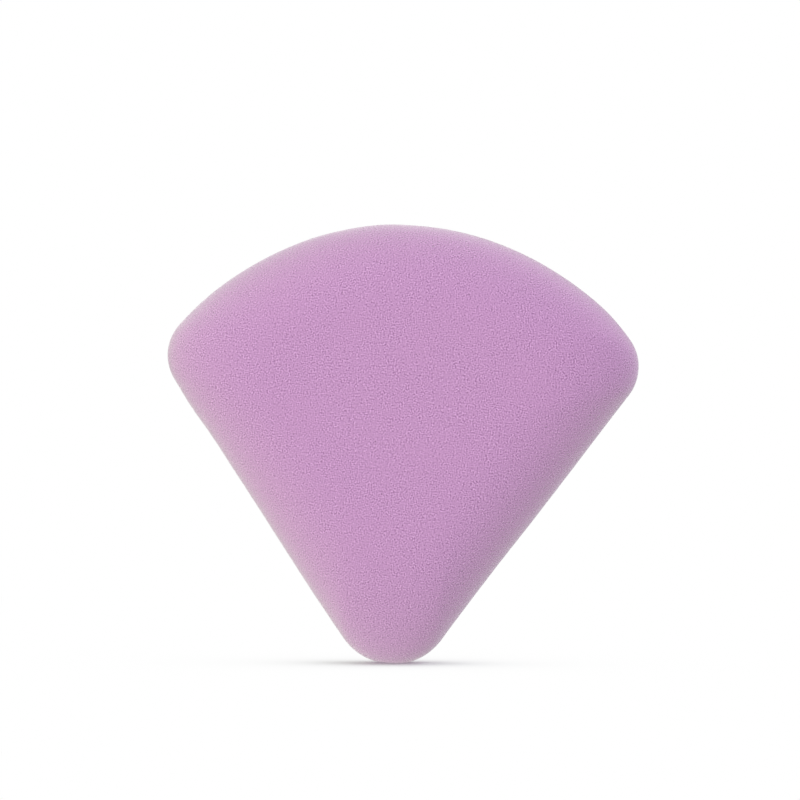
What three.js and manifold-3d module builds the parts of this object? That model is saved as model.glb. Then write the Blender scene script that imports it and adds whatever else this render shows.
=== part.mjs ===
// A fan-shaped concealer sponge, standing on the flat at its rounded tip.
// A soft foam core lies inside two flocked skins, which meet in a bonded seam round the middle
// of the rim. Millimetres, +Z up, the front face towards -Y, the origin in the middle of the foot.
import * as THREE from "three";
import { mergeVertices } from "three/addons/utils/BufferGeometryUtils.js";
import Module from "manifold-3d";

// The fan seen from the front
const SIDE_ANGLE = THREE.MathUtils.degToRad(35.3); // between each straight side and the middle line
const TIP_RADIUS = 7.2;
const CORNER_RADIUS = 5.4;
const TOP_RADIUS = 34.9;
const FAN_HEIGHT = 53.2; // from the end of the full round tip to the top of the arc
const FOOT_DEPTH = 0.5; // how much of the round tip is pressed flat where the sponge stands

// The pad seen from the side
const PAD_THICKNESS = 16;
const EDGE_WIDTH = 11; // how far in from the rim its rounding reaches
const EDGE_FULLNESS = 2.5; // 2 rounds the rim like an ellipse, more makes it fuller
const CROWN_HEIGHT = 0.8; // how much the middle of a face stands above the end of the rounding
const CROWN_FLAT_RADIUS = 4.5; // the middle of each face, where the crown has levelled out

// The layers
const SKIN_THICKNESS = 0.9;
const BOND_GAP = 0.3; // the adhesive between skin and core, and between the two skins at the seam

// How finely each stretch of the outline and of the faces is divided
const TIP_STEPS = 8;
const SIDE_STEPS = 6;
const CORNER_STEPS = 6;
const TOP_STEPS = 14;
const FACE_STEPS = 11;

const wasm = await Module();
wasm.setup();

// The middle of the largest circle that touches both sides and the top arc, above the tip's centre
const MIDDLE_RISE = (FAN_HEIGHT - 2 * TIP_RADIUS) / (1 + Math.sin(SIDE_ANGLE));
const MIDDLE_RADIUS = TIP_RADIUS + MIDDLE_RISE * Math.sin(SIDE_ANGLE);

// The fan drawn in by inset, with its tip and corners rounded as given. Heights are measured from
// the centre of the sponge's round tip.
function fanOutline(inset, tipRadius, cornerRadius) {
  const sideNormal = new THREE.Vector2(Math.cos(SIDE_ANGLE), -Math.sin(SIDE_ANGLE));
  const alongSide = new THREE.Vector2(Math.sin(SIDE_ANGLE), Math.cos(SIDE_ANGLE));
  const sideOffset = TIP_RADIUS - inset;
  const tip = new THREE.Vector2(0, (tipRadius - sideOffset) / Math.sin(SIDE_ANGLE));
  const topRadius = TOP_RADIUS - inset;
  const topCentre = FAN_HEIGHT - TOP_RADIUS - TIP_RADIUS;

  // Each corner's round touches the side and the top arc from inside
  const acrossSide = sideOffset - cornerRadius;
  const reach = topRadius - cornerRadius;
  const sideRun =
    topCentre * Math.cos(SIDE_ANGLE) +
    Math.sqrt(reach ** 2 - (acrossSide + topCentre * Math.sin(SIDE_ANGLE)) ** 2);
  const corner = alongSide.clone().multiplyScalar(sideRun).addScaledVector(sideNormal, acrossSide);
  const topSpread = Math.atan2(corner.x, corner.y - topCentre);

  const sideStart = tip.clone().addScaledVector(sideNormal, tipRadius);
  const sideEnd = corner.clone().addScaledVector(sideNormal, cornerRadius);
  const mirrored = (point) => new THREE.Vector2(-point.x, point.y);
  const arc = (x, y, radius, from, to) => new THREE.EllipseCurve(x, y, radius, radius, from, to);
  const right = Math.PI / 2 - topSpread;
  const left = Math.PI / 2 + topSpread;
  const stretches = [
    [arc(tip.x, tip.y, tipRadius, SIDE_ANGLE - Math.PI, -SIDE_ANGLE), TIP_STEPS],
    [new THREE.LineCurve(sideStart, sideEnd), SIDE_STEPS],
    [arc(corner.x, corner.y, cornerRadius, -SIDE_ANGLE, right), CORNER_STEPS],
    [arc(0, topCentre, topRadius, right, left), TOP_STEPS],
    [arc(-corner.x, corner.y, cornerRadius, left, Math.PI + SIDE_ANGLE), CORNER_STEPS],
    [new THREE.LineCurve(mirrored(sideEnd), mirrored(sideStart)), SIDE_STEPS],
  ];
  return stretches.flatMap(([curve, steps]) => curve.getPoints(steps).slice(0, -1));
}

// One ring of a pad that is drawn in by inset, at the given distance from its edge. Its corners are
// those of the outline at the edge and grow to a full circle in the middle, so that no ridge runs
// across the crown.
function padRing(inset, fromEdge) {
  const middle = MIDDLE_RADIUS - inset;
  const towardsMiddle = fromEdge / middle;
  const rounded = (radius) =>
    (middle - fromEdge) * THREE.MathUtils.lerp((radius - inset) / middle, 1, towardsMiddle);
  return fanOutline(inset + fromEdge, rounded(TIP_RADIUS), rounded(CORNER_RADIUS));
}

// Distance from the edge and height above the middle plane, from the rim to the level patch of a face
function faceProfile(inset) {
  const run = MIDDLE_RADIUS - inset - CROWN_FLAT_RADIUS;
  const edgeWidth = Math.min(EDGE_WIDTH, run);
  const edgeHeight = PAD_THICKNESS / 2 - inset - CROWN_HEIGHT;
  return Array.from({ length: FACE_STEPS + 1 }, (_, step) => {
    const fromEdge = run * (1 - Math.cos(((step / FACE_STEPS) * Math.PI) / 2));
    const acrossEdge = Math.min(fromEdge / edgeWidth, 1);
    const edge = edgeHeight * Math.sqrt(1 - (1 - acrossEdge) ** EDGE_FULLNESS);
    const crown = CROWN_HEIGHT * (1 - (1 - fromEdge / run) ** 2);
    return [fromEdge, edge + crown];
  });
}

// The whole crowned pad, drawn in by inset all round: rings from the front face over the rim to the
// back face, with a small level patch in the middle of each face
function padGeometry(inset) {
  const back = faceProfile(inset);
  const front = back.slice(1).map(([fromEdge, height]) => [fromEdge, -height]);
  const profile = [...front.reverse(), ...back];
  const tipCentre = TIP_RADIUS - FOOT_DEPTH;
  const rings = profile.map(([fromEdge, height]) =>
    padRing(inset, fromEdge).map((point) => [point.x, height, tipCentre + point.y]),
  );
  const count = rings[0].length;
  const indices = [];
  for (let ring = 0; ring < rings.length - 1; ring += 1) {
    for (let step = 0; step < count; step += 1) {
      const here = ring * count + step;
      const next = ring * count + ((step + 1) % count);
      indices.push(here, here + count, next + count, here, next + count, next);
    }
  }
  const patch = rings[0].map(([x, , z]) => new THREE.Vector2(x, z));
  const backPatch = (rings.length - 1) * count;
  for (const [a, b, c] of THREE.ShapeUtils.triangulateShape(patch, [])) {
    indices.push(a, b, c, backPatch + a, backPatch + c, backPatch + b);
  }
  const geometry = new THREE.BufferGeometry();
  geometry.setAttribute("position", new THREE.Float32BufferAttribute(rings.flat(2), 3));
  geometry.setIndex(indices);
  return geometry;
}

function toSolid(geometry) {
  geometry.deleteAttribute("normal");
  geometry.deleteAttribute("uv");
  const merged = mergeVertices(geometry);
  return new wasm.Manifold(
    new wasm.Mesh({
      numProp: 3,
      vertProperties: new Float32Array(merged.attributes.position.array),
      triVerts: new Uint32Array(merged.index.array),
    }),
  );
}

function toGeometry(solid) {
  const mesh = solid.getMesh();
  const geometry = new THREE.BufferGeometry();
  geometry.setAttribute("position", new THREE.BufferAttribute(new Float32Array(mesh.vertProperties), 3));
  geometry.setIndex(new THREE.BufferAttribute(new Uint32Array(mesh.triVerts), 1));
  const flat = geometry.toNonIndexed();
  flat.computeVertexNormals();
  return flat;
}

// A cube far larger than the sponge, with its middle at the given point, for cutting it along a plane
const CUTTER_SIZE = 4 * FAN_HEIGHT;
function cutter(x, y, z) {
  return toSolid(new THREE.BoxGeometry(CUTTER_SIZE, CUTTER_SIZE, CUTTER_SIZE).translate(x, y, z));
}

// The pad drawn in by inset and pressed flat at the tip, so that each layer keeps its thickness there
function pressedPad(inset) {
  return toSolid(padGeometry(inset)).subtract(cutter(0, 0, inset - CUTTER_SIZE / 2));
}

const wholeSkin = pressedPad(0).subtract(pressedPad(SKIN_THICKNESS));
const seamCut = (CUTTER_SIZE - BOND_GAP) / 2;
const frontSkin = wholeSkin.subtract(cutter(0, seamCut, 0));
const backSkin = wholeSkin.subtract(cutter(0, -seamCut, 0));
const foamCore = pressedPad(SKIN_THICKNESS + BOND_GAP);

const flockMaterial = new THREE.MeshStandardMaterial({ color: 0xc695c4, roughness: 0.95, metalness: 0 });
const foamMaterial = new THREE.MeshStandardMaterial({ color: 0xd9b8d6, roughness: 0.9, metalness: 0 });

const sponge = new THREE.Group();
sponge.name = "concealer_sponge";
function addPiece(name, solid, material) {
  const mesh = new THREE.Mesh(toGeometry(solid), material);
  mesh.name = name;
  sponge.add(mesh);
}
addPiece("front_skin", frontSkin, flockMaterial);
addPiece("back_skin", backSkin, flockMaterial.clone());
addPiece("foam_core", foamCore, foamMaterial);

export default sponge;
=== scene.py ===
"""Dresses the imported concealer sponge: a lilac fan with a flocked skin over a soft foam core.

Every length is in metres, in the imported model's frame: +Z up from the foot at the tip, +X across
the fan, and the front face towards -Y.
"""
import logging
import math
from collections.abc import Sequence
from dataclasses import dataclass, replace
from enum import Enum

import bmesh
import bpy
import numpy as np
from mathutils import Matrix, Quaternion, Vector, noise


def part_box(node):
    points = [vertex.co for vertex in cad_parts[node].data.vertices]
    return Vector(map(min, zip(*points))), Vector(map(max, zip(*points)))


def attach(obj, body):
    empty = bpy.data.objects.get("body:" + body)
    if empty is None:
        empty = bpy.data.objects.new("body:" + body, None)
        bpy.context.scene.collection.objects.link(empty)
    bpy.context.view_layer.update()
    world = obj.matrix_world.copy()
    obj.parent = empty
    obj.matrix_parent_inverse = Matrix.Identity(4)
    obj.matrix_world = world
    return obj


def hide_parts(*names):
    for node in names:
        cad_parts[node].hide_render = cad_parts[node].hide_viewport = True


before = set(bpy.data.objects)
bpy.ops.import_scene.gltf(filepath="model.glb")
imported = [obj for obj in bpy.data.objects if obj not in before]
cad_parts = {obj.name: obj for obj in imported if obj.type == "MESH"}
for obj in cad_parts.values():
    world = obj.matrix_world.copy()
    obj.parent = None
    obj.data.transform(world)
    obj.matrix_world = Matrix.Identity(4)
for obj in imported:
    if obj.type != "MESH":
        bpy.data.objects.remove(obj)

Colour = tuple[float, float, float, float]
Direction = tuple[float, float, float]
Socket = bpy.types.NodeSocket
Number = float | Socket

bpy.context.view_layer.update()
LOG = logging.getLogger("concealer_sponge")
BODY = "root"
MILLIMETRE = 0.001
# How nearly the rings at a layer's ends close to a point, and how near two vertices are joined.
CLOSED = 1e-6
# How many points a face's section is measured at before its rings are spaced out on it.
SECTION_POINTS = 4000
# The attribute that says how much of the flock each vertex carries.
NAP_LAYER = "nap"

# A tuft shows against the four beside it: the ways to them, laid onto the skin, in tuft widths.
BESIDE = 0.42
NEIGHBOURS = (
    (BESIDE, BESIDE, BESIDE),
    (BESIDE, -BESIDE, -BESIDE),
    (-BESIDE, BESIDE, -BESIDE),
    (-BESIDE, -BESIDE, BESIDE),
)
# The flock stands up in places and lies flat in others, and its painted shade and light are
# stronger where it stands: how fine these are, and how strong.
STANDING_SPREAD = 0.5
STANDING_RANGE = (0.4, 1.6)
# The whole of a mask, and the part of its range that a smooth noise or a tuft's tone stays in.
SHARE_RANGE = (0.0, 1.0)
NOISE_RANGE = (0.25, 0.75)
TONE_RANGE = (-0.5, 0.5)
# How far a pore lies below the tufts, as a share of their height.
PORE_DEPTH = 0.6
# The part of the patches' noise over which the flock goes from fresh to rubbed.
PATCH_RANGE = (0.4, 0.7)
PATCH_DETAIL = 2.0
# The nap below which the bare seam begins to show.
SEAM_NAP = 0.6
# The blend at which Layer Weight, which lays on the painted sheen, falls off evenly from the edge
# of the form to its middle.
EVEN_FACING = 0.5


class Face(Enum):
    """A face of the sponge, by the way it points along Y."""

    FRONT = -1
    BACK = 1


def linear(red: float, green: float, blue: float) -> Colour:
    """Turns a screen colour into the linear colour that a shader reads.

    Args:
        red: red from 0 to 255.
        green: green from 0 to 255.
        blue: blue from 0 to 255.

    Returns:
        The linear colour with full alpha.
    """

    def channel(value: float) -> float:
        """Straightens one channel's screen curve, by the sRGB formula."""
        share = value / 255
        return share / 12.92 if share <= 0.04045 else ((share + 0.055) / 1.055) ** 2.4

    return (channel(red), channel(green), channel(blue), 1.0)


def arc_points(
    centre: np.ndarray, radius: float, start: float, end: float, steps: int
) -> np.ndarray:
    """Lays points on an arc, without its last one.

    Args:
        centre: the arc's centre, across and up.
        radius: its radius.
        start: the angle of its first point.
        end: the angle that it runs to.
        steps: how many points it gets.

    Returns:
        The points, one row each.
    """
    angles = np.linspace(start, end, steps, endpoint=False)
    return centre + radius * np.column_stack([np.cos(angles), np.sin(angles)])


def mesh_object(name: str, mesh: bmesh.types.BMesh) -> bpy.types.Object:
    """Turns a finished mesh into an object in the scene.

    Args:
        name: the object's name.
        mesh: the mesh, which is freed.

    Returns:
        The new object.
    """
    data = bpy.data.meshes.new(name)
    mesh.to_mesh(data)
    mesh.free()
    made = bpy.data.objects.new(name, data)
    bpy.context.scene.collection.objects.link(made)
    return made


@dataclass(frozen=True)
class Station:
    """One ring of the pad: its place in its layer, and how much of the relief it carries."""

    inset: float
    from_edge: float
    height: float
    nap: float

    def on(self, face: Face) -> "Station":
        """Puts a ring that is laid out above the middle plane on one of the faces."""
        return replace(self, height=face.value * self.height)


@dataclass(frozen=True)
class Swell:
    """A soft place in the cut outline: where it lies round the middle, how wide and how full."""

    direction: float
    width: float
    fullness: float

    def at(self, directions: np.ndarray) -> np.ndarray:
        """Gives how far the outline stands out in the given directions."""
        away = np.angle(np.exp(1j * (directions - self.direction)))
        return self.fullness * np.exp(-((away / self.width) ** 2))


@dataclass(frozen=True)
class FanPad:
    """The sponge's form: a fan outline with a rounded rim that rises to a gentle crown.

    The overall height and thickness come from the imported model. The foam is soft and cut by eye,
    so the right shoulder is a little full and the left one a little flat.
    """

    height: float
    thickness: float
    side_angle: float = math.radians(35.3)
    tip_radius: float = 7.2 * MILLIMETRE
    corner_radius: float = 5.4 * MILLIMETRE
    top_radius: float = 34.9 * MILLIMETRE
    foot_depth: float = 0.2 * MILLIMETRE
    foot_softness: float = 0.08 * MILLIMETRE
    edge_width: float = 11 * MILLIMETRE
    edge_fullness: float = 2.5
    crown_height: float = 0.8 * MILLIMETRE
    spacing: float = 0.23 * MILLIMETRE
    swells: tuple[Swell, ...] = (
        Swell(math.radians(24), math.radians(12), 0.3 * MILLIMETRE),
        Swell(math.radians(98), math.radians(8), 0.08 * MILLIMETRE),
        Swell(math.radians(140), math.radians(22), -0.2 * MILLIMETRE),
        Swell(math.radians(-177), math.radians(6), 0.2 * MILLIMETRE),
        Swell(math.radians(-122), math.radians(20), 0.1 * MILLIMETRE),
        Swell(math.radians(-108), math.radians(14), 0.1 * MILLIMETRE),
        Swell(math.radians(-62), math.radians(14), -0.12 * MILLIMETRE),
    )

    @property
    def fan_height(self) -> float:
        """The height from the end of the full round tip to the top of the arc."""
        return self.height + self.foot_depth

    @property
    def middle_radius(self) -> float:
        """The radius of the largest circle that touches both sides and the top arc."""
        lean = math.sin(self.side_angle)
        return self.tip_radius + (self.fan_height - 2 * self.tip_radius) * lean / (1 + lean)

    @property
    def middle(self) -> np.ndarray:
        """The centre of that circle, across and up from the round tip's centre."""
        return np.array([0.0, (self.middle_radius - self.tip_radius) / math.sin(self.side_angle)])

    @property
    def top_centre(self) -> float:
        """The height of the top arc's centre above that of the round tip."""
        return self.fan_height - self.top_radius - self.tip_radius

    @property
    def side_normal(self) -> np.ndarray:
        """The outward direction of the right-hand side, across and up."""
        return np.array([math.cos(self.side_angle), -math.sin(self.side_angle)])

    def corner_place(self, inset: float, corner_radius: float) -> tuple[np.ndarray, float]:
        """Finds the right-hand corner's centre and how far round the top arc it lies.

        Args:
            inset: how far the fan is drawn in.
            corner_radius: the radius of the corner at that inset.

        Returns:
            The centre, across and up from the round tip's centre, and the angle from the crest.
        """
        along_side = np.array([math.sin(self.side_angle), math.cos(self.side_angle)])
        across = self.tip_radius - inset - corner_radius
        reach = self.top_radius - inset - corner_radius
        offset = across + self.top_centre * math.sin(self.side_angle)
        run = self.top_centre * math.cos(self.side_angle) + math.sqrt(reach**2 - offset**2)
        corner = along_side * run + self.side_normal * across
        return corner, math.atan2(corner[0], corner[1] - self.top_centre)

    def half_steps(self) -> tuple[int, int, int, int]:
        """Counts the points on half the tip, a side, a corner and half the top of every ring.

        Returns:
            The number of points on each stretch, about evenly spaced on the outline.
        """
        corner, spread = self.corner_place(0.0, self.corner_radius)
        start = self.side_normal * self.tip_radius
        end = corner + self.side_normal * self.corner_radius
        lengths = (
            self.tip_radius * (math.pi / 2 - self.side_angle),
            math.dist(start, end),
            self.corner_radius * (math.pi / 2 - spread + self.side_angle),
            self.top_radius * spread,
        )
        tip, side, round_corner, top = (math.ceil(length / self.spacing) for length in lengths)
        return tip, side, round_corner, top

    def ring(self, inset: float, from_edge: float) -> np.ndarray:
        """Lays out one ring of a layer, at a distance from its edge.

        The corners grow from those of the outline to a full circle in the middle, so that no
        ridge runs across the crown.

        Args:
            inset: how far the layer is drawn in from the outside of the sponge.
            from_edge: how far the ring lies in from the layer's edge.

        Returns:
            The ring's points, across and up from the foot, anticlockwise from the tip.
        """
        tip_steps, side_steps, corner_steps, top_steps = self.half_steps()
        middle = self.middle_radius - inset
        share = from_edge / middle

        def rounded(radius: float) -> float:
            """Rounds a corner of the outline as it is on this ring."""
            own = (radius - inset) / middle
            return (middle - from_edge) * (own + (1 - own) * share)

        drawn = inset + from_edge
        tip_radius = rounded(self.tip_radius)
        corner_radius = rounded(self.corner_radius)
        tip_rise = (tip_radius - self.tip_radius + drawn) / math.sin(self.side_angle)
        tip = np.array([0.0, tip_rise])
        corner, spread = self.corner_place(drawn, corner_radius)
        top = np.array([0.0, self.top_centre])
        top_radius = self.top_radius - drawn
        shoulder = math.pi / 2 - spread

        side_start = tip + self.side_normal * tip_radius
        side_end = corner + self.side_normal * corner_radius
        right_half = np.vstack([
            arc_points(tip, tip_radius, -math.pi / 2, -self.side_angle, tip_steps),
            np.linspace(side_start, side_end, side_steps, endpoint=False),
            arc_points(corner, corner_radius, -self.side_angle, shoulder, corner_steps),
            arc_points(top, top_radius, shoulder, math.pi / 2, top_steps),
            top + np.array([0.0, top_radius]),
        ])
        left_half = right_half[-2:0:-1] * np.array([-1.0, 1.0])
        points = np.vstack([right_half, left_half])
        outwards = points - self.middle
        directions = np.arctan2(outwards[:, 1], outwards[:, 0])
        swelling = sum(swell.at(directions) for swell in self.swells)
        points += outwards * (swelling * (1 - share) / np.hypot(*outwards.T))[:, None]
        points[:, 1] += self.tip_radius - self.foot_depth
        return self.pressed(points, inset)

    def pressed(self, points: np.ndarray, inset: float) -> np.ndarray:
        """Presses the tip softly flat where the sponge stands.

        Args:
            points: ring points, across and up.
            inset: how far their layer is drawn in, and so how high its own foot lies.

        Returns:
            The points with none below the layer's foot.
        """
        above = points[:, 1] - inset
        points[:, 1] = inset + (above + np.hypot(above, self.foot_softness)) / 2
        return points

    def rise(self, inset: float, from_edge: np.ndarray) -> np.ndarray:
        """Gives a layer's height above the middle plane at distances from its edge.

        Args:
            inset: how far the layer is drawn in.
            from_edge: distances in from its edge.

        Returns:
            The heights, from 0 at the rim to the full half thickness in the middle.
        """
        middle = self.middle_radius - inset
        edge_height = self.thickness / 2 - inset - self.crown_height
        across_edge = np.minimum(from_edge / self.edge_width, 1)
        edge = edge_height * np.sqrt(1 - (1 - across_edge) ** self.edge_fullness)
        return edge + self.crown_height * (1 - (1 - from_edge / middle) ** 2)

    def face_stations(
        self, inset: float, spacing: float, nap: float, lowest: float
    ) -> list[Station]:
        """Spaces rings evenly over one face of a layer, from its middle to its rim.

        Args:
            inset: how far the layer is drawn in.
            spacing: the distance between rings along the face.
            nap: how much of the flock's relief the face carries, from 0 to 1.
            lowest: the height above the middle plane at which the face ends.

        Returns:
            The stations, the first of them all but closed.
        """
        middle = self.middle_radius - inset
        fine = middle * np.linspace(1 - CLOSED, 0, SECTION_POINTS) ** 2
        heights = self.rise(inset, fine)
        kept = heights >= lowest
        fine = fine[kept]
        heights = heights[kept]
        length = np.concatenate([[0], np.cumsum(np.hypot(np.diff(fine), np.diff(heights)))])
        places = np.linspace(0, length[-1], math.ceil(length[-1] / spacing) + 1)
        across = np.interp(places, length, fine)
        return [
            Station(inset, float(edge), float(height), nap)
            for edge, height in zip(across, self.rise(inset, across))
        ]


@dataclass(frozen=True)
class Relief:
    """The real unevenness of a soft surface, as depths at several grain sizes."""

    grains: tuple[tuple[float, float], ...]

    def at(self, place: Vector) -> float:
        """Gives the height of the relief at a place."""
        return sum(depth * noise.noise(place / size) for depth, size in self.grains)


class Loft:
    """A closed soft body that is drawn ring by ring over a pad's stations."""

    def __init__(self, pad: FanPad) -> None:
        """Starts an empty body.

        Args:
            pad: the form that its rings follow.
        """
        self.pad = pad
        self.mesh = bmesh.new()
        self.nap = self.mesh.verts.layers.float.new(NAP_LAYER)

    def lay(self, ring: Sequence[bmesh.types.BMVert], station: Station) -> None:
        """Moves a ring's vertices to their station.

        Args:
            ring: the vertices in order, the last one on the first.
            station: where the ring belongs.
        """
        points = self.pad.ring(station.inset, station.from_edge)
        for vertex, (across, up) in zip(ring, [*points, points[0]]):
            vertex.co = (across, station.height, up)
            vertex[self.nap] = station.nap

    def build(self, stations: Sequence[Station]) -> None:
        """Rolls a sheet up into rings, lays them on the stations and closes both ends.

        Args:
            stations: the rings in order, the first and the last of them all but closed.
        """
        around = len(self.pad.ring(stations[0].inset, stations[0].from_edge))
        sheet = bmesh.ops.create_grid(self.mesh, x_segments=around, y_segments=len(stations) - 1)
        for row, station in enumerate(stations):
            first = row * (around + 1)
            self.lay(sheet["verts"][first:first + around + 1], station)
        bmesh.ops.remove_doubles(self.mesh, verts=self.mesh.verts, dist=CLOSED)
        if self.mesh.calc_volume(signed=True) < 0:
            bmesh.ops.reverse_faces(self.mesh, faces=self.mesh.faces)
        self.mesh.normal_update()

    def roughen(self, relief: Relief) -> None:
        """Raises the relief on the surface, as far as each vertex carries nap.

        Args:
            relief: the heights to add along the surface's own direction.
        """
        moves = [
            vertex.normal * (relief.at(vertex.co) * vertex[self.nap]) for vertex in self.mesh.verts
        ]
        for vertex, move in zip(self.mesh.verts, moves):
            vertex.co += move

    def finish(self, name: str) -> bpy.types.Object:
        """Turns the body into an object in the scene.

        Args:
            name: the piece's name.

        Returns:
            The new object, with smooth faces.
        """
        for polygon in self.mesh.faces:
            polygon.smooth = True
        return mesh_object(name, self.mesh)


class ShaderTree:
    """Adds nodes to a node tree and joins them."""

    def __init__(self, tree: bpy.types.NodeTree) -> None:
        """Takes over a tree and clears it."""
        self.tree = tree
        tree.nodes.clear()

    def feed(self, socket: Socket, value: object) -> None:
        """Sets an input, or joins an output to it.

        Args:
            socket: the input.
            value: what it holds, or the output that feeds it.
        """
        if isinstance(value, Socket):
            self.tree.links.new(value, socket)
        else:
            socket.default_value = value

    def add(self, kind: str, values: dict | None = None, **settings: object) -> bpy.types.Node:
        """Adds a node.

        Args:
            kind: the node's type name, without a leading ShaderNode.
            values: what its inputs hold, or the output that feeds them, by name or number.
            settings: the node's own settings.

        Returns:
            The new node.
        """
        node = self.tree.nodes.new(kind if kind.startswith("NodeGroup") else "ShaderNode" + kind)
        for key, setting in settings.items():
            setattr(node, key, setting)
        for key, value in (values or {}).items():
            self.feed(node.inputs[key], value)
        return node

    def remap(
        self, value: Socket, source: tuple[Number, Number], target: tuple[float, float]
    ) -> Socket:
        """Stretches a value smoothly from one range to another.

        Args:
            value: the output to read.
            source: the range that it is taken from.
            target: the range that it is brought to.

        Returns:
            The stretched value, held inside the target range.
        """
        values = {
            "Value": value,
            "From Min": source[0],
            "From Max": source[1],
            "To Min": target[0],
            "To Max": target[1],
        }
        return self.add("MapRange", values, interpolation_type="SMOOTHSTEP").outputs["Result"]

    def maths(self, operation: str, *terms: Number) -> Socket:
        """Works out one value from others.

        Args:
            operation: what is done with them.
            terms: the values, or the outputs that give them.

        Returns:
            The new value.
        """
        return self.add("Math", dict(enumerate(terms)), operation=operation).outputs["Value"]

    def vector(self, operation: str, *terms: Direction | Socket) -> Socket:
        """Works out one vector from others.

        Args:
            operation: what is done with them.
            terms: the vectors, or the outputs that give them.

        Returns:
            The new vector.
        """
        return self.add("VectorMath", dict(enumerate(terms)), operation=operation).outputs["Vector"]

    def noise(self, place: Socket, scale: float, detail: float = 0.0) -> Socket:
        """Adds a noise, plain and smooth unless it is given detail.

        Args:
            place: the output that gives the place.
            scale: how many of its swells lie on a unit of length.
            detail: how many finer noises it carries.

        Returns:
            The noise, about 0.5 on average.
        """
        values = {"Vector": place, "Scale": scale, "Detail": detail}
        return self.add("TexNoise", values).outputs["Fac"]

    def mix(self, factor: Socket, first: Colour | Socket, second: Colour | Socket) -> Socket:
        """Mixes two colours.

        Args:
            factor: how much of the second shows, from 0 to 1.
            first: a colour, or the output that gives it.
            second: a colour, or the output that gives it.

        Returns:
            The mixed colour.
        """
        node = self.add("Mix", data_type="RGBA")
        sockets = {socket.identifier: socket for socket in node.inputs}
        for name, value in (("Factor_Float", factor), ("A_Color", first), ("B_Color", second)):
            self.feed(sockets[name], value)
        return next(socket for socket in node.outputs if socket.identifier == "Result_Color")


def grain_group() -> bpy.types.NodeTree:
    """Builds the grain that the flock and the foam share, at a fineness of their own.

    A tuft's tone is how far it stands out from those beside it, so the grain stays fine and even:
    painted shade in the hollows between tufts and painted light on their tips.

    Returns:
        A node group that turns a place into the grain's tone, its pores and its height.
    """
    group = bpy.data.node_groups.new("soft_grain", "ShaderNodeTree")
    sockets = group.interface
    for name in ("Place", "Normal"):
        sockets.new_socket(name, in_out="INPUT", socket_type="NodeSocketVector")
    for name in ("Fineness", "Pore Spread", "Pore Size"):
        sockets.new_socket(name, in_out="INPUT", socket_type="NodeSocketFloat")
    for name in ("Tone", "Pores", "Height"):
        sockets.new_socket(name, in_out="OUTPUT", socket_type="NodeSocketFloat")
    tree = ShaderTree(group)
    given = tree.add("NodeGroupInput").outputs
    spaced = tree.add(
        "VectorMath", {0: given["Place"], "Scale": given["Fineness"]}, operation="SCALE"
    ).outputs["Vector"]
    tufts = tree.noise(spaced, 1.0)
    tone = tufts
    for way in NEIGHBOURS:
        upright = tree.vector("PROJECT", way, given["Normal"])
        beside = tree.vector("ADD", spaced, tree.vector("SUBTRACT", way, upright))
        tone = tree.maths("MULTIPLY_ADD", tree.noise(beside, 1.0), -1 / len(NEIGHBOURS), tone)
    standing = tree.remap(tree.noise(spaced, STANDING_SPREAD), NOISE_RANGE, STANDING_RANGE)
    tone = tree.maths("MULTIPLY", tone, standing)
    cells = tree.add(
        "TexVoronoi", {"Vector": given["Place"], "Scale": given["Pore Spread"]}
    ).outputs["Distance"]
    pores = tree.remap(cells, (given["Pore Size"], 0.0), SHARE_RANGE)
    height = tree.maths("MULTIPLY_ADD", pores, -PORE_DEPTH, tufts)
    tree.add("NodeGroupOutput", {"Tone": tone, "Pores": pores, "Height": height})
    return group


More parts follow.
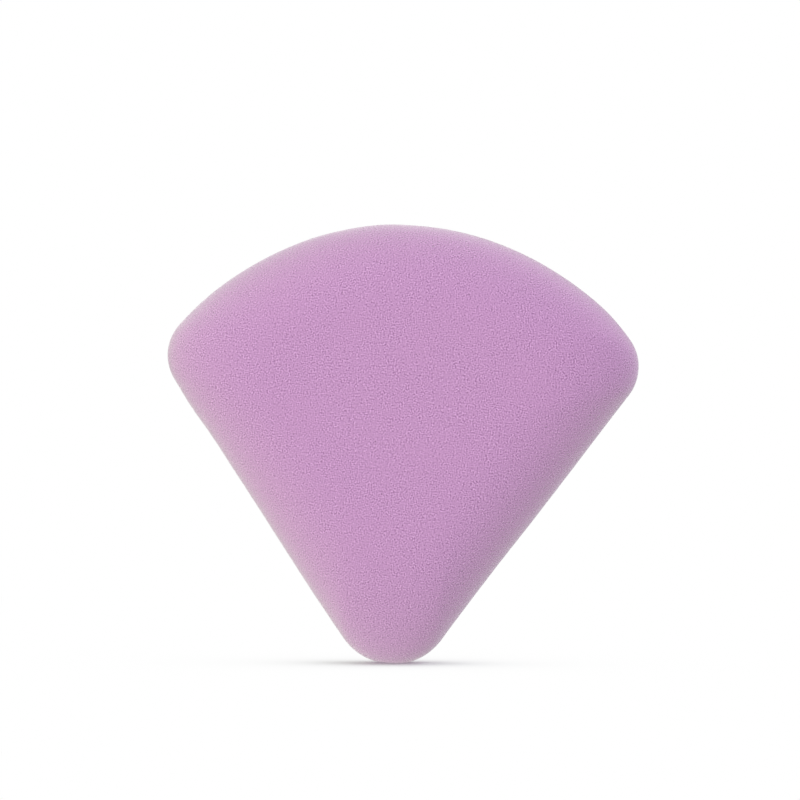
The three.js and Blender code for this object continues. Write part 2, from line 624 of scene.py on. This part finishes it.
@dataclass(frozen=True)
class SoftFinish:
    """A soft, matt, grained finish: its colours, its grain, its gloss and its sheen, with shade and
    a sheen painted into its colours.
    """

    name: str
    # The grain's two ends: painted shade in the hollows between tufts and painted light on their
    # tips.
    deep: Colour
    light: Colour
    rubbed: Colour
    # Painted shade: the darker colour laid into the pores, where they sink into the surface.
    pore_shade: Colour
    seam: Colour
    # Painted sheen: paler colours laid into the colour towards the edge of the form, where it is
    # seen edge on.
    painted_sheen_deep: Colour
    painted_sheen_light: Colour
    fineness: float
    pore_spread: float
    pore_size: float
    patch_spread: float
    patch_strength: float
    pore_strength: float
    grain_depth: float
    sheen: float
    sheen_roughness: float
    sheen_tint: Colour
    roughness: tuple[float, float] = (0.82, 0.98)
    specular: float = 0.15

    def colour(self, tree: ShaderTree, place: Socket, tone: Socket, pores: Socket) -> Socket:
        """Lays the finish's colours over each other.

        Args:
            tree: the material's tree.
            place: the output that gives the place on the piece.
            tone: how far a tuft stands out from those beside it, from 0 to 1, which paints shade in
                the hollows and light on the tips.
            pores: where the pores are, from 0 to 1.

        Returns:
            The colour, with painted shade in its hollows and pores, a painted sheen where the piece
            turns away, and bare at the seam.
        """
        # Painted shade and light: darker where a tuft sits below those beside it, paler where it
        # stands above them.
        tuft_shade_and_light = tree.mix(tone, self.deep, self.light)
        patches = tree.noise(place, self.patch_spread, PATCH_DETAIL)
        worn = tree.remap(patches, PATCH_RANGE, (0.0, self.patch_strength))
        handled = tree.mix(worn, tuft_shade_and_light, self.rubbed)
        # Painted shade: the pores are darkened where they sink into the surface.
        pore_shade_mask = tree.remap(pores, SHARE_RANGE, (0.0, self.pore_strength))
        with_pore_shade = tree.mix(pore_shade_mask, handled, self.pore_shade)
        # Painted sheen: the colour turns paler towards the edge of the form, where the surface is
        # seen edge on.
        turned = tree.add("LayerWeight", {"Blend": EVEN_FACING}).outputs["Facing"]
        painted_sheen = tree.mix(tone, self.painted_sheen_deep, self.painted_sheen_light)
        with_painted_sheen = tree.mix(turned, with_pore_shade, painted_sheen)
        nap = tree.add("Attribute", attribute_name=NAP_LAYER).outputs["Fac"]
        napped = tree.remap(nap, (0.0, SEAM_NAP), SHARE_RANGE)
        return tree.mix(napped, self.seam, with_painted_sheen)

    def material(self, grain: bpy.types.NodeTree) -> bpy.types.Material:
        """Builds the finish as a procedural material.

        Args:
            grain: the grain group that the soft finishes share.

        Returns:
            The new material.
        """
        material = bpy.data.materials.new(self.name)
        material.use_nodes = True
        tree = ShaderTree(material.node_tree)
        skin = tree.add("TexCoord").outputs
        grained = tree.add(
            "Group",
            {
                "Place": skin["Object"],
                "Normal": skin["Normal"],
                "Fineness": self.fineness,
                "Pore Spread": self.pore_spread,
                "Pore Size": self.pore_size,
            },
            node_tree=grain,
        ).outputs
        tone = tree.remap(grained["Tone"], TONE_RANGE, SHARE_RANGE)
        bump = tree.add(
            "Bump",
            {"Height": grained["Height"], "Strength": 1.0, "Distance": self.grain_depth},
        )
        shader = tree.add(
            "BsdfPrincipled",
            {
                "Base Color": self.colour(tree, skin["Object"], tone, grained["Pores"]),
                "Roughness": tree.remap(tone, SHARE_RANGE, self.roughness),
                "Specular IOR Level": self.specular,
                "Sheen Weight": self.sheen,
                "Sheen Roughness": self.sheen_roughness,
                "Sheen Tint": self.sheen_tint,
                "Normal": bump.outputs["Normal"],
            },
        )
        tree.add("OutputMaterial", {"Surface": shader.outputs["BSDF"]})
        return material


LILAC_FLOCK = SoftFinish(
    name="lilac_flock",
    # Painted shade and painted light of the flock's tufts.
    deep=linear(155, 102, 155),
    light=linear(231, 177, 231),
    rubbed=linear(201, 147, 199),
    pore_shade=linear(124, 78, 122),
    seam=linear(172, 126, 170),
    # Painted sheen of the flock, laid on where it turns away.
    painted_sheen_deep=linear(175, 130, 165),
    painted_sheen_light=linear(243, 198, 234),
    fineness=4600,
    pore_spread=600,
    pore_size=0.09,
    patch_spread=130,
    patch_strength=0.25,
    pore_strength=0.7,
    grain_depth=0.1 * MILLIMETRE,
    sheen=0.9,
    sheen_roughness=0.5,
    sheen_tint=linear(255, 255, 255),
)
LILAC_FOAM = SoftFinish(
    name="lilac_foam",
    # Painted shade and painted light of the foam's grain.
    deep=linear(200, 160, 198),
    light=linear(226, 196, 224),
    rubbed=linear(220, 188, 216),
    pore_shade=linear(150, 108, 150),
    seam=linear(200, 160, 198),
    # Painted sheen of the foam, laid on where it turns away.
    painted_sheen_deep=linear(214, 186, 212),
    painted_sheen_light=linear(237, 213, 235),
    fineness=1500,
    pore_spread=1400,
    pore_size=0.42,
    patch_spread=90,
    patch_strength=0.4,
    pore_strength=0.8,
    grain_depth=0.12 * MILLIMETRE,
    sheen=0.1,
    sheen_roughness=0.5,
    sheen_tint=linear(255, 250, 252),
)


@dataclass(frozen=True, kw_only=True)
class Layer:
    """A soft layer of the sponge, lofted over the pad and put in the place of its solid."""

    pad: FanPad
    name: str
    node: str
    slot: str
    relief: Relief

    def stations(self) -> list[Station]:
        """Lists the layer's rings in order."""
        raise NotImplementedError

    def build(self) -> bpy.types.Object:
        """Builds the layer's mesh.

        Returns:
            The bare piece.
        """
        loft = Loft(self.pad)
        loft.build(self.stations())
        loft.roughen(self.relief)
        return loft.finish(self.name)

    def dress(self, piece: bpy.types.Object, material: bpy.types.Material) -> None:
        """Gives the layer its finish and puts it in the place of its solid.

        Args:
            piece: the bare piece.
            material: its finish.
        """
        piece.data.materials.append(material)
        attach(piece, BODY)
        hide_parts(self.node)


@dataclass(frozen=True, kw_only=True)
class FlockedSkin(Layer):
    """One of the two flocked skins, from the middle of its face round to the seam in the rim."""

    face: Face
    slot: str = "flock"
    thickness: float = 0.9 * MILLIMETRE
    seam_gap: float = 0.01 * MILLIMETRE
    lip_radius: float = 0.2 * MILLIMETRE
    lip_steps: int = 5
    inner_spacing: float = 2.4 * MILLIMETRE
    relief: Relief = Relief((
        (0.03 * MILLIMETRE, 9 * MILLIMETRE),
        (0.01 * MILLIMETRE, 1.7 * MILLIMETRE),
        (0.006 * MILLIMETRE, 0.7 * MILLIMETRE),
    ))

    def lip(self, edge: Station) -> list[Station]:
        """Rolls the skin's edge in towards the seam.

        Args:
            edge: the last station of the outer face.

        Returns:
            The stations of the roll, with the nap dying away.
        """
        stations = []
        for step in range(1, self.lip_steps + 1):
            share = step / self.lip_steps
            angle = share * math.pi / 2
            from_edge = edge.from_edge + self.lip_radius * (1 - math.cos(angle))
            height = edge.height - self.lip_radius * math.sin(angle)
            stations.append(replace(edge, from_edge=from_edge, height=height, nap=1 - share))
        return stations

    def stations(self) -> list[Station]:
        """Lists the rings from the middle of the face, round the lip and back inside.

        Returns:
            The stations on the skin's own face.
        """
        half_gap = self.seam_gap / 2
        outer = self.pad.face_stations(
            inset=0.0, spacing=self.pad.spacing, nap=1.0, lowest=half_gap + self.lip_radius
        )
        inner = self.pad.face_stations(
            inset=self.thickness, spacing=self.inner_spacing, nap=0.0, lowest=half_gap
        )
        rings = [*outer, *self.lip(outer[-1]), *reversed(inner)]
        return [ring.on(self.face) for ring in rings]


@dataclass(frozen=True, kw_only=True)
class FoamCore(Layer):
    """The soft foam body that both skins are bonded to."""

    name: str = "core_foam"
    node: str = "foam_core"
    slot: str = "foam"
    inset: float = 1.2 * MILLIMETRE
    spacing: float = 0.5 * MILLIMETRE
    relief: Relief = Relief((
        (0.06 * MILLIMETRE, 5 * MILLIMETRE),
        (0.06 * MILLIMETRE, 1.4 * MILLIMETRE),
    ))

    def stations(self) -> list[Station]:
        """Lists the rings from the middle of the front face over the rim to the back.

        Returns:
            The stations on both faces.
        """
        back = self.pad.face_stations(
            inset=self.inset, spacing=self.spacing, nap=1.0, lowest=0.0
        )
        front = [station.on(Face.FRONT) for station in back]
        return [*front, *reversed(back[:-1])]


def outlook(azimuth: float, elevation: float) -> Vector:
    """Turns a viewing angle into the direction from the sponge.

    Args:
        azimuth: degrees round to the right from straight in front.
        elevation: degrees above level.

    Returns:
        The direction, of length 1.
    """
    turn = math.radians(azimuth)
    rise = math.radians(elevation)
    level = math.cos(rise)
    return Vector((math.sin(turn) * level, -math.cos(turn) * level, math.sin(rise)))


def hang(
    data: bpy.types.ID, aim: Vector, outwards: Vector, distance: float, roll: float = 0.0
) -> bpy.types.Object:
    """Puts a lamp or a camera at a distance from a point and turns it to face that point.

    Args:
        data: the lamp or the camera.
        aim: the point that it faces.
        outwards: the direction from that point to it.
        distance: how far away it is.
        roll: how far it is turned about its own line of sight.

    Returns:
        The new object, in the scene.
    """
    hung = bpy.data.objects.new(data.name, data)
    hung.location = aim + outwards * distance
    hung.rotation_mode = "QUATERNION"
    facing = (-outwards).to_track_quat("-Z", "Y")
    hung.rotation_quaternion = facing @ Quaternion((0, 0, 1), roll)
    bpy.context.scene.collection.objects.link(hung)
    return hung


@dataclass(frozen=True)
class Lamp:
    """A soft square lamp. A level of 1 lights a white card that faces it to plain white."""

    name: str
    azimuth: float
    elevation: float
    level: float
    colour: Colour
    distance: float = 0.8
    size: float = 0.5

    def build(self, aim: Vector) -> None:
        """Hangs the lamp and turns it to the sponge.

        Args:
            aim: the point that it faces.
        """
        data = bpy.data.lights.new(self.name, "AREA")
        data.shape = "SQUARE"
        data.size = self.size
        data.energy = self.level * (math.pi * self.distance) ** 2
        data.color = self.colour[:3]
        lamp = hang(data, aim, outlook(self.azimuth, self.elevation), self.distance)
        lamp.visible_camera = False


WARM_WHITE = linear(242, 255, 231)
PLAIN_WHITE = linear(255, 255, 255)
COOL_WHITE = linear(241, 230, 255)


@dataclass(frozen=True)
class Studio:
    """A pale floor, soft light from all round and the camera that looks at the front face.

    The floor leans about as much as the camera is rolled, so that it lies level in the picture.
    Its shadow is fullest at the foot and runs out to white, soonest in front and behind.
    """

    aim_across: float = -0.066 * MILLIMETRE
    aim_up: float = 31.65 * MILLIMETRE
    ambient: float = 0.485
    floor_size: float = 1.2
    floor_segments: int = 8
    floor_lean: float = math.radians(-2.07)
    floor_colour: Colour = linear(223, 230, 224)
    shadow_reach: float = 8.2 * MILLIMETRE
    shadow_falloff: float = 3.3
    shadow_stretch: Direction = (1.0, 2.7, 1.0)
    shadow_centre: Direction = (0.5 * MILLIMETRE, -1.2 * MILLIMETRE, 0.0)
    lamps: tuple[Lamp, ...] = (
        Lamp("key_lamp", -42, 15, 0.37, WARM_WHITE),
        Lamp("bounce_lamp", -40, -35, 0.37, WARM_WHITE),
        Lamp("top_lamp", -20, 80, 0.05, WARM_WHITE),
        Lamp("right_top_lamp", 40, 55, 0.26, COOL_WHITE),
        Lamp("right_side_lamp", 85, 35, 0.11, COOL_WHITE),
        Lamp("right_bounce_lamp", 60, -35, 0.04, COOL_WHITE),
        Lamp("right_rim_lamp", 125, 30, 0.19, COOL_WHITE),
        Lamp("left_rim_lamp", -130, 25, 0.05, WARM_WHITE),
        Lamp("back_lamp", 180, 5, 0.5, WARM_WHITE),
    )
    camera_azimuth: float = 4
    camera_elevation: float = 2
    camera_roll: float = math.radians(1.98)
    camera_distance: float = 0.48
    frame_width: float = 0.09624
    sensor_width: float = 36
    nearest: float = 0.01
    farthest: float = 20

    @property
    def aim(self) -> Vector:
        """The point in the middle of the picture, which the lamps face too."""
        return Vector((self.aim_across, 0.0, self.aim_up))

    def light(self) -> None:
        """Hangs the lamps and fills the world with even light, white to the camera."""
        for lamp in self.lamps:
            lamp.build(self.aim)
        world = bpy.data.worlds.new("studio")
        bpy.context.scene.world = world
        world.use_nodes = True
        tree = ShaderTree(world.node_tree)
        seen = self.seen_rays(tree)
        lit = tree.add("Background", {"Color": PLAIN_WHITE, "Strength": self.ambient})
        white = tree.add("Background", {"Color": PLAIN_WHITE, "Strength": 1.0})
        mixed = tree.add(
            "MixShader",
            {0: seen, 1: lit.outputs["Background"], 2: white.outputs["Background"]},
        )
        tree.add("OutputWorld", {"Surface": mixed.outputs["Shader"]})

    def seen_rays(self, tree: ShaderTree) -> Socket:
        """Marks what the camera sees directly, in gloss or through glass.

        Args:
            tree: the tree of the floor or the world.

        Returns:
            1 for those rays and 0 for the light that falls on the sponge.
        """
        rays = tree.add("LightPath").outputs
        glossy = tree.maths("MAXIMUM", rays["Is Camera Ray"], rays["Is Glossy Ray"])
        return tree.maths("MAXIMUM", glossy, rays["Is Transmission Ray"])

    def floor_material(self) -> bpy.types.Material:
        """Makes the floor matt under the foot, and white to the camera farther out.

        Returns:
            The new material.
        """
        material = bpy.data.materials.new("pale_floor")
        material.use_nodes = True
        tree = ShaderTree(material.node_tree)
        seen = self.seen_rays(tree)
        place = tree.add("TexCoord").outputs["Object"]
        drawn = tree.vector("MULTIPLY", place, self.shadow_stretch)
        far = tree.add("VectorMath", {0: drawn}, operation="LENGTH").outputs["Value"]
        reaches = tree.maths("DIVIDE", far, self.shadow_reach)
        away = tree.maths("POWER", reaches, self.shadow_falloff)
        fade = tree.maths("DIVIDE", away, tree.maths("ADD", away, 1.0))
        blank = tree.maths("MULTIPLY", seen, fade)
        matt = tree.add("BsdfDiffuse", {"Color": self.floor_colour})
        white = tree.add("Emission", {"Color": PLAIN_WHITE, "Strength": 1.0})
        mixed = tree.add(
            "MixShader", {0: blank, 1: matt.outputs["BSDF"], 2: white.outputs["Emission"]}
        )
        tree.add("OutputMaterial", {"Surface": mixed.outputs["Shader"]})
        return material

    def floor(self) -> None:
        """Lays the floor under the tip, level with the picture."""
        mesh = bmesh.new()
        bmesh.ops.create_grid(
            mesh,
            x_segments=self.floor_segments,
            y_segments=self.floor_segments,
            size=self.floor_size / 2,
        )
        floor = mesh_object("floor", mesh)
        floor.location = self.shadow_centre
        floor.rotation_euler = (0.0, self.floor_lean, 0.0)
        floor.visible_diffuse = False
        floor.visible_shadow = False
        floor.data.materials.append(self.floor_material())

    def camera(self) -> None:
        """Sets the camera up in front of the sponge, as far off and as turned as in the picture."""
        data = bpy.data.cameras.new("camera")
        data.sensor_width = self.sensor_width
        data.lens = self.sensor_width * self.camera_distance / self.frame_width
        data.clip_start = self.nearest
        data.clip_end = self.farthest
        outwards = outlook(self.camera_azimuth, self.camera_elevation)
        bpy.context.scene.camera = hang(
            data, self.aim, outwards, self.camera_distance, self.camera_roll
        )

    def build(self) -> None:
        """Sets up the camera, the floor and the light."""
        self.camera()
        self.floor()
        self.light()
        bpy.context.scene.view_settings.view_transform = "Standard"


def report_piece(piece: bpy.types.Object) -> None:
    """Logs a finished piece's name, triangles and size.

    Args:
        piece: the piece, built and dressed.
    """
    piece.data.calc_loop_triangles()
    size = " x ".join(f"{side / MILLIMETRE:.2f}" for side in piece.dimensions)
    LOG.info("%s: %d triangles, %s mm", piece.name, len(piece.data.loop_triangles), size)


def main() -> None:
    """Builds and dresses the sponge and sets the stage."""
    logging.basicConfig(level=logging.INFO)
    pad = FanPad(
        height=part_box("front_skin")[1][2],
        thickness=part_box("back_skin")[1][1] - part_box("front_skin")[0][1],
    )
    grain = grain_group()
    flock = LILAC_FLOCK.material(grain)
    foam = LILAC_FOAM.material(grain)
    layers = (
        (FlockedSkin(pad=pad, face=Face.FRONT, name="front_flock", node="front_skin"), flock),
        (FlockedSkin(pad=pad, face=Face.BACK, name="back_flock", node="back_skin"), flock),
        (FoamCore(pad=pad), foam),
    )
    for layer, material in layers:
        piece = layer.build()
        layer.dress(piece, material)
        report_piece(piece)
    Studio().build()


if __name__ == "__main__":
    main()
